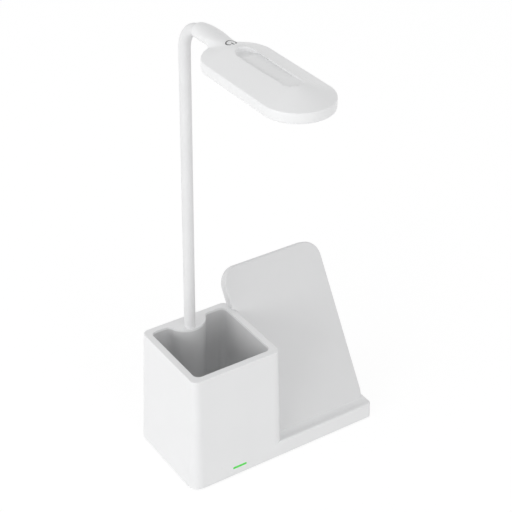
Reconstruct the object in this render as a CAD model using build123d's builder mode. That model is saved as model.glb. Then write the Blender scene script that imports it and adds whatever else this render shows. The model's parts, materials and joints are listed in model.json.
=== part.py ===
from build123d import *
from math import cos, radians, sin, sqrt, tan
import os

os.makedirs("parts", exist_ok=True)

# A desk lamp on a drafted base that holds pens in a square cup and a phone on a leaning charging plate.
# Origin: the middle of the base's footprint, on the desk. X runs along the base, from the cup to the
# phone plate, -Y is the front and Z is up. All sizes are in millimetres, angles in degrees.

# Base and pen cup
base_length = 170.5
base_depth = 84.7
base_gap = 0.8            # height of the housing's lower edge above the desk
cup_length = 83.6         # the cup's share of the base length, at the lower edge
cup_height = 100.0
wall_draft = 1.95
cup_corner = 9.0
deck_corner = 4.5
deck_edge = 1.2           # radius along the deck's upper edge
deck_height = 13.0
shell_wall = 2.2
rim_width = 5.3
rim_edge = 0.7
pocket_corner = 5.0
pocket_wall = 1.8
pocket_draft = 1.0
pocket_floor = 13.0       # height of the cup's floor above the lower edge
lip_width = 2.6
cradle_depth = 0.7
fit_gap = 0.15            # clearance around each cover and seated piece
thread_gap = 0.05         # clearance of a screw or a turned piece in its hole

# Post boss in the cup's back wall
post_shift = 2.4          # how far the post stands left of the cup's middle
post_inset = 16.45        # the post's axis from the base's back edge
boss_radius = 16.0
boss_shift = (1.9, 10.35)     # from the post's axis to the boss's
boss_blend = 5.0

# Bottom cover, screws and pad
cover_thick = 2.0
screw_inset = (16.0, 5.2)     # from the base's ends and from its long sides
screw_column = 3.2
screw_shank = 1.5
screw_head = 2.6
screw_head_deep = 1.2
driver_slot = (3.2, 0.8)      # length and width of the cross in a screw's head
driver_deep = 0.8
column_height = 8.0
screw_clear = 1.0         # free depth of the column beyond the screw's tip
pad_inset = 9.5
pad_corner = 6.0
pad_sunk = 0.6

# Ballast, main board and socket
ballast_size = (56.0, 52.0, 4.0)
ballast_gap = 1.5         # from the stem
board_size = (62.0, 44.0, 1.6)
board_lift = 3.0
standoff_radius = 2.4
socket_size = (8.9, 7.6, 3.2)
socket_wall = 0.4
socket_tongue = (6.4, 5.0, 0.7)
socket_inset = 1.0        # mouth of the socket behind the back wall's face
socket_x = 36.0

# Indicator light in the front wall
light_length = 12.4
light_width = 1.4
light_height = 6.9        # above the lower edge
light_gap = 0.1
light_flange = 1.2
light_board = (18.0, 1.2, 5.6)

# Phone plate
plate_margin = 1.4        # from the deck's right edge to the plate
plate_length = 136.6      # along the slope, above the deck
plate_thick = 8.0
plate_lean = 58.0
plate_root = 7.0
plate_corner = 14.5
plate_skin = 2.0
plate_edge = 1.2
tongue_inset = 20.0
tongue_step = 0.6         # the tongue's front behind the plate's face
plate_foot = 11.0         # from the base's front edge to the plate's face, at the deck
lid_thick = 1.8
lid_rib = 1.6
lid_rib_x = 18.0
coil_outer = 23.0
coil_inner = 10.0
coil_thick = 1.4
coil_height = 68.0        # centre above the deck, along the slope
ferrite_side = 52.0
ferrite_thick = 1.0
gusset_thick = 2.4
gusset_spread = 48.0
gusset_height = 46.0
gusset_reach = 30.0

# Gooseneck
hose_radius = 4.33
core_radius = 3.3
lead_radius = 1.6         # bore of the core, for the lamp's lead
sleeve_gap = 0.03
bend_radius = 20.5
bend_height = 354.3       # height of the hose's centre line if the bend went on to the horizontal
bend_turn = 73.0          # turn of the bend where the lamp head's neck begins
low_bend = (104.0, 152.0)     # stretch of the post that bends at the lean
high_bend = (176.0, 224.0)    # stretch that bends at the sway
crown_foot = 292.0            # where the post turns about its own axis
top_bend = 316.0              # where the stretch that bends at the head starts
hose_hole = 0.12              # clearance of the hose in the boss's hole

# Stem that carries the gooseneck in the boss
stem_radius = 4.2
stem_foot = 3.6
stem_top = 96.0
guide_radius = 6.3
core_depth = 24.0         # length of the gooseneck's core inside the stem
nut_flats = 15.0
nut_height = 4.0
washer_radius = 8.5
washer_thick = 1.2

# Lamp head
head_half = 24.8
head_length = 114.4
head_shift = 43.9         # from the post's axis to the head's back, where the neck joins
head_base = 346.8         # height of the skirt's lower edge
skirt_height = 7.0
dome_rise = 8.0
head_wall = 2.0
skirt_edge = 0.8
skirt_rim = 0.6
slot_width = 14.0
slot_length = 65.0
slot_shift = 1.5          # how far the slot lies beyond the head's middle, towards the tip
slot_deep = 3.6
slot_shallow = 1.6
slot_wall = 1.4
neck_radius = 4.95
neck_bore = 3.85
neck_lead = 2.2           # radius of the lead's way through the neck
neck_blend = 2.0
neck_sweep = 60.0         # radius of the neck's centre line
core_tail = 15.0          # turn of the core's end inside the neck
ferrule_start = 1.0
# distance from the post's axis, half width and half height of the neck's sections
neck_sections = ((22.9, 6.0, 4.9), (32.9, 6.5, 4.75), (43.9, 6.8, 4.7), (61.9, 7.0, 4.4))

# Light unit in the head
bezel_width = 4.0
bezel_thick = 3.0
bezel_sunk = 0.4          # the bezel's face above the skirt's lower edge
diffuser_thick = 1.6
diffuser_step = 1.4       # the bezel's ledge round the diffuser
tray_wall = 0.9
tray_inset = 7.5
led_board_thick = 1.0
led_board_inset = 6.0
led_size = (2.8, 3.5, 0.7)
led_count = (4, 10)
led_pitch = (8.4, 8.2)
touch_board = (10.0, 12.0, 1.0)
touch_shift = 18.0        # from the head's back
touch_spring = (3.2, 2.6)
touch_reach = 4.2
head_screw = 1.1
board_post = 2.6
post_spread = 8.4
post_reach = 43.2
board_post_hole = 3.0
board_level = 353.2

lower_edge = Plane.XY.offset(base_gap)
deck_top = base_gap + deck_height
rim_top = base_gap + cup_height
cup_x = (cup_length - base_length) / 2
cup_end = cup_x + cup_length / 2
post_x = cup_x - post_shift
post_y = base_depth / 2 - post_inset
boss_centre = (post_x + boss_shift[0], post_y + boss_shift[1])
deck_length = base_length - cup_length / 2
deck_x = (base_length - deck_length) / 2
rim_shrink = cup_height * tan(radians(wall_draft))
open_length = cup_length - 2 * (rim_shrink + rim_width)
open_depth = base_depth - 2 * (rim_shrink + rim_width)
screw_span = (base_length - 2 * screw_inset[0], base_depth - 2 * screw_inset[1])
cover_top = base_gap + cover_thick
cover_shrink = cover_thick * tan(radians(wall_draft))
board_x = base_length / 2 - screw_inset[0] - screw_column - fit_gap - board_size[0] / 2
board_y = base_depth / 2 - shell_wall - 4 * fit_gap - board_size[1] / 2
board_top = cover_top + board_lift + board_size[2]
socket_level = board_top + socket_size[2] / 2
socket_mouth = base_depth / 2 - socket_level * tan(radians(wall_draft)) - socket_inset
light_face = base_depth / 2 - light_height * tan(radians(wall_draft)) + light_gap
light_seat = shell_wall + light_gap + fit_gap
floor_under = base_gap + pocket_floor - pocket_wall
pad_length = base_length - 2 * pad_inset
pad_depth = base_depth - 2 * pad_inset
cover_inset = shell_wall + fit_gap + cover_shrink
standoff_span = (board_size[0] - 4 * standoff_radius, board_size[1] - 4 * standoff_radius)
ballast_x = cup_x - standoff_radius
ballast_y = post_y - stem_radius - ballast_gap - ballast_size[1] / 2


def save(piece, name):
    piece.part.label = name
    export_step(piece.part, f"parts/{name}.step")


# Outline of the cup's opening, with the post's boss standing into it from the back wall
with BuildSketch(Plane.XY.offset(rim_top)) as pocket_outline:
    with Locations((cup_x, 0)):
        RectangleRounded(open_length, open_depth, pocket_corner)
    with Locations(boss_centre):
        Circle(boss_radius, mode=Mode.SUBTRACT)
    boss_ends = pocket_outline.vertices().sort_by_distance(Vector(*boss_centre, rim_top))[:2]
    fillet(boss_ends, boss_blend)

with BuildSketch(Plane.XY.offset(rim_top)) as pocket_wall_outline:
    add(pocket_outline.sketch)
    offset(amount=pocket_wall, kind=Kind.ARC)

# The phone plate's plane: its face, with Y up the slope and Z out of the face
deck_shrink = deck_height * tan(radians(wall_draft))
plate_ends = (cup_end - deck_shrink + fit_gap, base_length / 2 - deck_shrink - plate_margin)
plate_width = plate_ends[1] - plate_ends[0]
plate_x = (plate_ends[0] + plate_ends[1]) / 2
plate_y = plate_foot - base_depth / 2
plate_face = Plane(origin=(plate_x, plate_y, deck_top), x_dir=(1, 0, 0),
                   z_dir=(0, -sin(radians(plate_lean)), cos(radians(plate_lean))))
plate_flare = tan(radians(wall_draft)) * sin(radians(plate_lean))
plate_section = plate_thick / sin(radians(plate_lean))
tongue_shift = Location(-tongue_step * plate_face.z_dir)
gusset_foot = plate_y + plate_section
tongue_top = plate_thick / tan(radians(plate_lean))
tray_foot = tongue_top + plate_skin
skin_shift = Location(-plate_skin * plate_face.z_dir)
lid_shift = Location(-(plate_thick - lid_thick) * plate_face.z_dir)
lid_rib_height = plate_thick - lid_thick - plate_skin - coil_thick - ferrite_thick - fit_gap


def plateOutline(inset, foot):
    """Outline of the phone plate, drawn in from its edges. Its left edge follows the cup's drafted wall."""
    half = plate_width / 2 - inset
    top = plate_length - inset
    with BuildSketch(plate_face) as outline:
        Polygon((-half - foot * plate_flare, foot), (half, foot), (half, top), (-half - top * plate_flare, top),
                align=None)
        fillet(outline.vertices().group_by(Axis.Z)[-1], plate_corner - inset)
    return outline.sketch


def tongueOutline(inset):
    """Outline of the narrow tongue that the plate stands in the deck with."""
    half = plate_width / 2 - tongue_inset - inset
    with BuildSketch(plate_face) as outline:
        with Locations((0, (tongue_top - plate_root + inset) / 2)):
            Rectangle(2 * half, tongue_top + plate_root - inset)
    return outline.sketch


# Base housing: cup and deck in one drafted moulding, open below, with the cup's pocket let into it
with BuildPart() as base_housing:
    with BuildSketch(lower_edge):
        with Locations((deck_x, 0)):
            RectangleRounded(deck_length, base_depth, deck_corner)
    extrude(amount=deck_height, taper=wall_draft)
    fillet(base_housing.faces().sort_by(Axis.Z)[-1].edges(), deck_edge)
    with BuildSketch(lower_edge):
        with Locations((cup_x, 0)):
            RectangleRounded(cup_length, base_depth, cup_corner)
    extrude(amount=cup_height, taper=wall_draft)
    fillet(base_housing.faces().sort_by(Axis.Z)[-1].edges(), rim_edge)
    # hollow from below
    with BuildSketch(lower_edge):
        with Locations((cup_x, 0)):
            RectangleRounded(cup_length - 2 * shell_wall, base_depth - 2 * shell_wall, cup_corner - shell_wall)
    extrude(amount=cup_height - shell_wall, taper=wall_draft, mode=Mode.SUBTRACT)
    with BuildSketch(lower_edge):
        with Locations((deck_x, 0)):
            RectangleRounded(deck_length - 2 * shell_wall, base_depth - 2 * shell_wall,
                             deck_corner - shell_wall)
    extrude(amount=deck_height - shell_wall, taper=wall_draft, mode=Mode.SUBTRACT)
    # walls and floor of the pocket, the stem's guide, then the pocket's space and the stem's bore
    extrude(pocket_wall_outline.sketch, amount=pocket_floor - pocket_wall - cup_height, taper=-pocket_draft)
    with BuildSketch(Plane.XY.offset(floor_under)):
        with Locations((post_x, post_y)):
            Circle(guide_radius)
    extrude(amount=rim_top - floor_under)
    extrude(pocket_outline.sketch, amount=pocket_floor - cup_height, taper=-pocket_draft, mode=Mode.SUBTRACT)
    with BuildSketch(Plane.XY.offset(floor_under)):
        with Locations((post_x, post_y)):
            Circle(hose_radius + hose_hole)
    extrude(amount=rim_top - floor_under, mode=Mode.SUBTRACT)
    # shallow cradle along the phone plate's foot, behind the lip
    with BuildSketch(Plane.YZ.offset(plate_x - plate_width / 2)):
        with BuildLine():
            lip_point = (lip_width - base_depth / 2, deck_top)
            foot_point = (plate_y, deck_top)
            trough_point = ((lip_point[0] + foot_point[0]) / 2, deck_top - cradle_depth)
            ThreePointArc(lip_point, trough_point, foot_point)
            Line(foot_point, lip_point)
        make_face()
    extrude(amount=base_length, mode=Mode.SUBTRACT)
    # seat for the phone plate's tongue, gussets behind the plate
    extrude(tongueOutline(-fit_gap), amount=-plate_thick - fit_gap, mode=Mode.SUBTRACT)
    for side in (-1, 1):
        with BuildSketch(Plane.YZ.offset(plate_x + side * gusset_spread / 2 - gusset_thick / 2)):
            Polygon((gusset_foot, deck_top - shell_wall / 2), (gusset_foot, deck_top),
                    (gusset_foot + gusset_height / tan(radians(plate_lean)), deck_top + gusset_height),
                    (gusset_foot + gusset_reach, deck_top - shell_wall / 2), align=None)
        extrude(amount=gusset_thick)
    # screw columns, and openings for the socket and the indicator light
    with BuildSketch(Plane.XY.offset(cover_top)):
        with GridLocations(*screw_span, 2, 2):
            Circle(screw_column)
            Circle(screw_shank, mode=Mode.SUBTRACT)
    extrude(amount=column_height)
    with BuildSketch(Plane.XZ.offset(-base_depth / 2)):
        with Locations((socket_x, socket_level)):
            RectangleRounded(socket_size[0] + 2 * fit_gap, socket_size[2] + 2 * fit_gap, socket_size[2] / 2)
    extrude(amount=2 * shell_wall, mode=Mode.SUBTRACT)
    with BuildSketch(Plane.XZ.offset(base_depth / 2)):
        with Locations((cup_x, base_gap + light_height)):
            SlotOverall(light_length + 2 * light_gap, light_width + 2 * light_gap)
    extrude(amount=-2 * shell_wall, mode=Mode.SUBTRACT)
save(base_housing, "base_housing")

# Bottom cover with standoffs for the board
with BuildPart() as bottom_cover:
    with BuildSketch(lower_edge) as cover_outline:
        Rectangle(base_length - 2 * cover_inset, base_depth - 2 * cover_inset)
        cover_ends = cover_outline.vertices().group_by(Axis.X)
        fillet(cover_ends[0], cup_corner - shell_wall)
        fillet(cover_ends[-1], deck_corner)
        with GridLocations(*screw_span, 2, 2):
            Circle(screw_shank + fit_gap, mode=Mode.SUBTRACT)
    extrude(amount=cover_thick)
    with BuildSketch(lower_edge):
        with GridLocations(*screw_span, 2, 2):
            Circle(screw_head + fit_gap)
    extrude(amount=screw_head_deep, mode=Mode.SUBTRACT)
    with BuildSketch(lower_edge):
        RectangleRounded(pad_length + 2 * fit_gap, pad_depth + 2 * fit_gap, pad_corner)
    extrude(amount=pad_sunk, mode=Mode.SUBTRACT)
    with BuildSketch(Plane.XY.offset(cover_top)):
        with Locations((board_x, board_y)):
            with GridLocations(*standoff_span, 2, 2):
                Circle(standoff_radius)
    extrude(amount=board_lift)
save(bottom_cover, "bottom_cover")

with BuildPart() as cover_screws:
    with BuildSketch(lower_edge):
        with GridLocations(*screw_span, 2, 2):
            Circle(screw_head)
    extrude(amount=screw_head_deep)
    with BuildSketch(lower_edge):
        with GridLocations(*screw_span, 2, 2):
            Circle(screw_shank - thread_gap)
    extrude(amount=cover_thick + column_height - screw_clear)
    with BuildSketch(lower_edge):
        with GridLocations(*screw_span, 2, 2):
            Rectangle(*driver_slot)
            Rectangle(*reversed(driver_slot))
    extrude(amount=driver_deep, mode=Mode.SUBTRACT)
save(cover_screws, "cover_screws")

with BuildPart() as antislip_pad:
    with BuildSketch():
        RectangleRounded(pad_length, pad_depth, pad_corner)
    extrude(amount=base_gap + pad_sunk)
    chamfer(antislip_pad.faces().sort_by(Axis.Z)[0].edges(), base_gap / 4)
save(antislip_pad, "antislip_pad")

with BuildPart() as ballast_plate:
    with BuildSketch(Plane.XY.offset(cover_top)):
        with Locations((ballast_x, ballast_y)):
            RectangleRounded(ballast_size[0], ballast_size[1], ballast_size[2])
    extrude(amount=ballast_size[2])
save(ballast_plate, "ballast_plate")

with BuildPart() as main_board:
    with BuildSketch(Plane.XY.offset(board_top - board_size[2])):
        with Locations((board_x, board_y)):
            RectangleRounded(board_size[0], board_size[1], board_size[2])
    extrude(amount=board_size[2])
save(main_board, "main_board")

# Charging socket on the board's back edge, reaching into the opening in the back wall
with BuildPart() as usb_socket:
    with BuildSketch(Plane.XZ.offset(-socket_mouth)):
        with Locations((socket_x, socket_level)):
            RectangleRounded(socket_size[0], socket_size[2], socket_size[2] / 2 - thread_gap)
            RectangleRounded(socket_size[0] - 2 * socket_wall, socket_size[2] - 2 * socket_wall,
                             socket_size[2] / 2 - socket_wall - thread_gap, mode=Mode.SUBTRACT)
            Rectangle(socket_tongue[0], socket_tongue[2])
    extrude(amount=socket_tongue[1])
    with BuildSketch(Plane.XZ.offset(-socket_mouth + socket_tongue[1])):
        with Locations((socket_x, socket_level)):
            RectangleRounded(socket_size[0], socket_size[2], socket_size[2] / 2 - thread_gap)
    extrude(amount=socket_size[1] - socket_tongue[1])
save(usb_socket, "usb_socket")

# Indicator: a bar of light in the front wall, with its small board behind
with BuildPart() as indicator_lens:
    with BuildSketch(Plane.XZ.offset(light_face)):
        with Locations((cup_x, base_gap + light_height)):
            SlotOverall(light_length, light_width)
    extrude(amount=-light_seat)
    with BuildSketch(Plane.XZ.offset(light_face - light_seat)):
        with Locations((cup_x, base_gap + light_height)):
            SlotOverall(light_length + 2 * light_flange, light_width + 2 * light_flange)
    extrude(amount=-light_flange)
save(indicator_lens, "indicator_lens")

with BuildPart() as indicator_board:
    with BuildSketch(Plane.XZ.offset(light_face - light_seat - light_flange)):
        with Locations((cup_x, base_gap + light_height)):
            Rectangle(light_board[0], light_board[2])
    extrude(amount=-light_board[1])
save(indicator_board, "indicator_board")

# Phone plate: front tray, coil, ferrite and back lid
with BuildPart() as plate_front:
    extrude(plateOutline(0, -plate_root), amount=-plate_thick)
    fillet(plate_front.faces().sort_by(Axis((0, 0, 0), plate_face.z_dir))[-1].edges().filter_by(
        lambda edge: edge.center().Z > deck_top), plate_edge)
    with BuildSketch(Plane.XY.offset(deck_top)):
        with Locations((plate_x, plate_y)):
            Rectangle(2 * plate_width, base_depth)
    extrude(amount=-2 * plate_root, mode=Mode.SUBTRACT)
    extrude(tongueOutline(0).moved(tongue_shift), amount=tongue_step - plate_thick)
    extrude(plateOutline(plate_skin, tray_foot).moved(skin_shift), amount=-plate_thick, mode=Mode.SUBTRACT)
save(plate_front, "plate_front")

with BuildPart() as charging_coil:
    with BuildSketch(plate_face.offset(-plate_skin)):
        with Locations((0, coil_height)):
            Circle(coil_outer)
            Circle(coil_inner, mode=Mode.SUBTRACT)
    extrude(amount=-coil_thick)
save(charging_coil, "charging_coil")

with BuildPart() as ferrite_sheet:
    with BuildSketch(plate_face.offset(-plate_skin - coil_thick)):
        with Locations((0, coil_height)):
            RectangleRounded(ferrite_side, ferrite_side, ferrite_thick)
    extrude(amount=-ferrite_thick)
save(ferrite_sheet, "ferrite_sheet")

with BuildPart() as plate_back:
    extrude(plateOutline(plate_skin + fit_gap, tray_foot + fit_gap).moved(lid_shift), amount=-lid_thick)
    with BuildSketch(plate_face.offset(-plate_thick + lid_thick)):
        with Locations((0, coil_height)):
            with GridLocations(2 * lid_rib_x, 0, 2, 1):
                Rectangle(lid_rib, ferrite_side)
    extrude(amount=lid_rib_height)
save(plate_back, "plate_back")

# Stem, washer and nut that hold the gooseneck in the boss
with BuildPart() as post_stem:
    with BuildSketch(Plane.XY.offset(stem_foot)):
        with Locations((post_x, post_y)):
            Circle(stem_radius)
            Circle(core_radius + sleeve_gap, mode=Mode.SUBTRACT)
    extrude(amount=stem_top - stem_foot)
save(post_stem, "post_stem")

with BuildPart() as post_washer:
    with BuildSketch(Plane.XY.offset(floor_under - washer_thick)):
        with Locations((post_x, post_y)):
            Circle(washer_radius)
            Circle(stem_radius + thread_gap, mode=Mode.SUBTRACT)
    extrude(amount=washer_thick)
save(post_washer, "post_washer")

with BuildPart() as post_nut:
    with BuildSketch(Plane.XY.offset(floor_under - washer_thick - nut_height)):
        with Locations((post_x, post_y)):
            RegularPolygon(nut_flats / 2, 6, major_radius=False)
            Circle(stem_radius + thread_gap, mode=Mode.SUBTRACT)
    extrude(amount=nut_height)
save(post_nut, "post_nut")

# The gooseneck's centre line: up the post, round the bend, then along the lamp head's neck
bend_centre = (post_y - bend_radius, bend_height - bend_radius)
bend_end = (bend_centre[0] + bend_radius * cos(radians(bend_turn)),
            bend_centre[1] + bend_radius * sin(radians(bend_turn)))
neck_centre = (bend_end[0] - neck_sweep * cos(radians(bend_turn)),
               bend_end[1] - neck_sweep * sin(radians(bend_turn)))


def ring(outer, inner):
    """Sketch faces of a tube's section."""
    Circle(outer)
    if inner:
        Circle(inner, mode=Mode.SUBTRACT)


def straightTube(low, high, outer, inner):
    """A stretch of tube up the post."""
    with BuildPart() as tube:
        with BuildSketch(Plane.XY.offset(low)):
            with Locations((post_x, post_y)):
                ring(outer, inner)
        extrude(amount=high - low)
    return tube


def arcTube(centre, radius, start, turn, outer, inner):
    """A stretch of tube round a bend in the plane of the post, from one angle above the centre's level."""
    point = (centre[0] + radius * cos(radians(start)), centre[1] + radius * sin(radians(start)))
    section_plane = Plane(origin=(post_x, *point), x_dir=(1, 0, 0),
                          z_dir=(0, -sin(radians(start)), cos(radians(start))))
    with BuildPart() as tube:
        with BuildSketch(section_plane):
            ring(outer, inner)
        revolve(axis=Axis((post_x, *centre), (1, 0, 0)), revolution_arc=turn)
    return tube


# Core and silicone sleeve of the gooseneck, stretch by stretch
hose_parts = {"core": (core_radius, lead_radius), "sleeve": (hose_radius, core_radius + sleeve_gap)}
stretches = {"low_bend": low_bend, "lower": (low_bend[1], high_bend[0]),
             "high_bend": high_bend, "upper": (high_bend[1], crown_foot), "crown": (crown_foot, top_bend)}
for layer, (outer, inner) in hose_parts.items():
    foot = stem_top if layer == "sleeve" else stem_top - core_depth
    base_stretch = straightTube(foot, low_bend[0], outer, inner)
    save(base_stretch, f"{layer}_base")
    for place, (low, high) in stretches.items():
        save(straightTube(low, high, outer, inner), f"{layer}_{place}")
    with BuildPart() as top_stretch:
        add(straightTube(top_bend, bend_centre[1], outer, inner).part)
        add(arcTube(bend_centre, bend_radius, 0, bend_turn, outer, inner).part)
    save(top_stretch, f"{layer}_top_bend")
core_end = arcTube(neck_centre, neck_sweep, bend_turn, core_tail, core_radius, lead_radius)
save(core_end, "core_head")
neck_ferrule = arcTube(neck_centre, neck_sweep, bend_turn + ferrule_start, core_tail - ferrule_start,
                       neck_bore - sleeve_gap, core_radius + sleeve_gap)
save(neck_ferrule, "neck_ferrule")

# Lamp head: a domed cover on a short skirt, drawn out into the neck
head_back = post_y - head_shift
head_tip = head_back - head_length
head_y = (head_back + head_tip) / 2
slot_y = head_y - slot_shift
slot_ends = (slot_y + slot_length / 2, slot_y - slot_length / 2)
touch_y = head_back - touch_shift
cap_ends = (head_back - head_half, head_tip + head_half)
skirt_top = head_base + skirt_height
crown = skirt_top + dome_rise
diffuser_level = head_base + bezel_sunk + diffuser_step
board_posts = [(post_x + side * post_spread, head_y + along * post_reach)
               for side in (-1, 1) for along in (-1, 1)]


def headSketch(plane, inset):
    """Plan of the head: straight sides and round ends."""
    with BuildSketch(plane) as plan:
        with Locations((post_x, head_y)):
            SlotOverall(head_length - 2 * inset, 2 * (head_half - inset), rotation=90)
    return plan.sketch


def domeBody(inset, low, shoulder, top):
    """The head's form, drawn in from its outside: upright sides up to a shoulder, and a dome over them."""
    half = head_half - inset
    rise = top - shoulder
    sphere = (half ** 2 + rise ** 2) / (2 * rise)
    drop = sphere - sqrt(sphere ** 2 - (half / 2) ** 2)
    with BuildPart() as body:
        extrude(headSketch(Plane.XY.offset(low), inset), amount=shoulder - low)
        for end in cap_ends:
            with BuildSketch(Plane.XZ.offset(-end)):
                with BuildLine():
                    Polyline((post_x, top), (post_x, shoulder), (post_x + half, shoulder))
                    ThreePointArc((post_x + half, shoulder), (post_x + half / 2, top - drop), (post_x, top))
                make_face()
            revolve(axis=Axis((post_x, end, 0), (0, 0, 1)))
        with BuildSketch(Plane.XZ.offset(-cap_ends[0])):
            with BuildLine():
                Line((post_x - half, shoulder), (post_x + half, shoulder))
                ThreePointArc((post_x + half, shoulder), (post_x, top), (post_x - half, shoulder))
            make_face()
        extrude(amount=cap_ends[0] - cap_ends[1])
    return body


def neckBody():
    """The neck, lofted from the hose's end into the dome."""
    with BuildPart() as body:
        mouth = Plane(origin=(post_x, *bend_end), x_dir=(1, 0, 0),
                      z_dir=(0, -sin(radians(bend_turn)), cos(radians(bend_turn))))
        with BuildSketch(mouth):
            Circle(neck_radius)
        for reach, half, thick in neck_sections:
            before = max(post_y - reach - neck_centre[0], 0)
            level = neck_centre[1] + sqrt(neck_sweep ** 2 - before ** 2)
            with BuildSketch(Plane.XZ.offset(reach - post_y)):
                with Locations((post_x, level)):
                    Ellipse(half, thick)
        loft()
    return body


with BuildPart() as slot_space:
    with BuildSketch(Plane.XY.offset(crown - 2 * slot_deep)):
        with Locations((post_x, slot_y)):
            SlotOverall(slot_length, slot_width, rotation=90)
    extrude(amount=3 * slot_deep)
    with BuildSketch(Plane.YZ.offset(post_x - slot_width)):
        Polygon((slot_ends[0], crown - slot_deep), (slot_ends[0], crown + slot_deep),
                (slot_ends[1], crown + slot_deep), (slot_ends[1], crown - slot_shallow), align=None)
    extrude(amount=2 * slot_width, mode=Mode.INTERSECT)

with BuildPart() as head_cover:
    add(domeBody(0, head_base, skirt_top, crown).part)
    add(neckBody().part)
    joint_edges = head_cover.edges().filter_by(GeomType.BSPLINE)
    fillet(joint_edges.filter_by(lambda edge: edge.center().Y < bend_centre[0]), neck_blend)
    # the light unit's space, and the slot's floor with the slot let into it
    add(domeBody(head_wall, head_base, skirt_top - head_wall / 2, crown - head_wall).part, mode=Mode.SUBTRACT)
    with BuildSketch(Plane.XY.offset(crown - slot_deep - slot_wall)):
        with Locations((post_x, slot_y)):
            SlotOverall(slot_length + 2 * slot_wall, slot_width + 2 * slot_wall, rotation=90)
    extrude(amount=slot_deep + slot_wall - head_wall / 2)
    add(slot_space.part, mode=Mode.SUBTRACT)
    # seat of the gooseneck's end in the neck, and the lead's way on into the head
    add(arcTube(neck_centre, neck_sweep, bend_turn, 90 - bend_turn, neck_bore, 0).part, mode=Mode.SUBTRACT)
    with BuildSketch(Plane.XZ.offset(-neck_centre[0])):
        with Locations((post_x, neck_centre[1] + neck_sweep)):
            Circle(neck_lead)
    extrude(amount=neck_centre[0] - head_back + 2 * head_wall, mode=Mode.SUBTRACT)
    with BuildSketch(Plane.XY.offset(board_level)):
        with Locations(*board_posts):
            Circle(board_post)
    extrude(until=Until.NEXT)
    with BuildSketch(Plane.XY.offset(board_level)):
        with Locations(*board_posts):
            Circle(head_screw)
    extrude(amount=board_post_hole, mode=Mode.SUBTRACT)
save(head_cover, "head_cover")

# Bezel and diffuser that close the head from below
with BuildPart() as head_bezel:
    extrude(headSketch(Plane.XY.offset(head_base + bezel_sunk), head_wall + fit_gap), amount=bezel_thick)
    extrude(headSketch(Plane.XY.offset(head_base + bezel_sunk), head_wall + bezel_width), amount=bezel_thick,
            mode=Mode.SUBTRACT)
    extrude(headSketch(Plane.XY.offset(diffuser_level), head_wall + bezel_width - diffuser_step),
            amount=bezel_thick, mode=Mode.SUBTRACT)
save(head_bezel, "head_bezel")

with BuildPart() as diffuser:
    extrude(headSketch(Plane.XY.offset(diffuser_level), head_wall + bezel_width - diffuser_step + fit_gap),
            amount=diffuser_thick)
save(diffuser, "diffuser")

# Reflector ring between the diffuser and the lamps' board
with BuildPart() as reflector:
    extrude(headSketch(Plane.XY.offset(diffuser_level + diffuser_thick), tray_inset),
            amount=board_level - led_board_thick - diffuser_level - diffuser_thick)
    extrude(headSketch(Plane.XY.offset(diffuser_level + diffuser_thick), tray_inset + tray_wall),
            amount=board_level, mode=Mode.SUBTRACT)
save(reflector, "reflector")

with BuildPart() as led_board:
    extrude(headSketch(Plane.XY.offset(board_level - led_board_thick), led_board_inset), amount=led_board_thick)
    with BuildSketch(Plane.XY.offset(board_level - led_board_thick)):
        with Locations(*board_posts):
            Circle(head_screw + thread_gap)
    extrude(amount=led_board_thick, mode=Mode.SUBTRACT)
save(led_board, "led_board")

with BuildPart() as lamp_chips:
    with BuildSketch(Plane.XY.offset(board_level - led_board_thick)):
        with Locations((post_x, head_y)):
            with GridLocations(*led_pitch, *led_count):
                Rectangle(led_size[0], led_size[1])
    extrude(amount=-led_size[2])
save(lamp_chips, "lamp_chips")

with BuildPart() as board_screws:
    with BuildSketch(Plane.XY.offset(board_level - led_board_thick)):
        with Locations(*board_posts):
            Circle(2 * head_screw)
    extrude(amount=-head_screw)
    with BuildSketch(Plane.XY.offset(board_level - led_board_thick)):
        with Locations(*board_posts):
            Circle(head_screw - thread_gap)
    extrude(amount=led_board_thick + board_post_hole - head_screw)
save(board_screws, "board_screws")

# Touch sensor under the power mark: its board, and the spring that presses on the dome from inside
with BuildPart() as touch_sensor:
    with BuildSketch(Plane.XY.offset(board_level)):
        with Locations((post_x, touch_y)):
            Rectangle(touch_board[0], touch_board[1])
    extrude(amount=touch_board[2])
save(touch_sensor, "touch_sensor")

with BuildPart() as touch_contact:
    with BuildSketch(Plane.XY.offset(board_level + touch_board[2])):
        with Locations((post_x, touch_y)):
            ring(*touch_spring)
    extrude(amount=touch_reach)
save(touch_contact, "touch_contact")
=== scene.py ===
import json
import math
import bmesh
import bpy
from mathutils import Matrix, Vector
from mathutils.bvhtree import BVHTree


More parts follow.
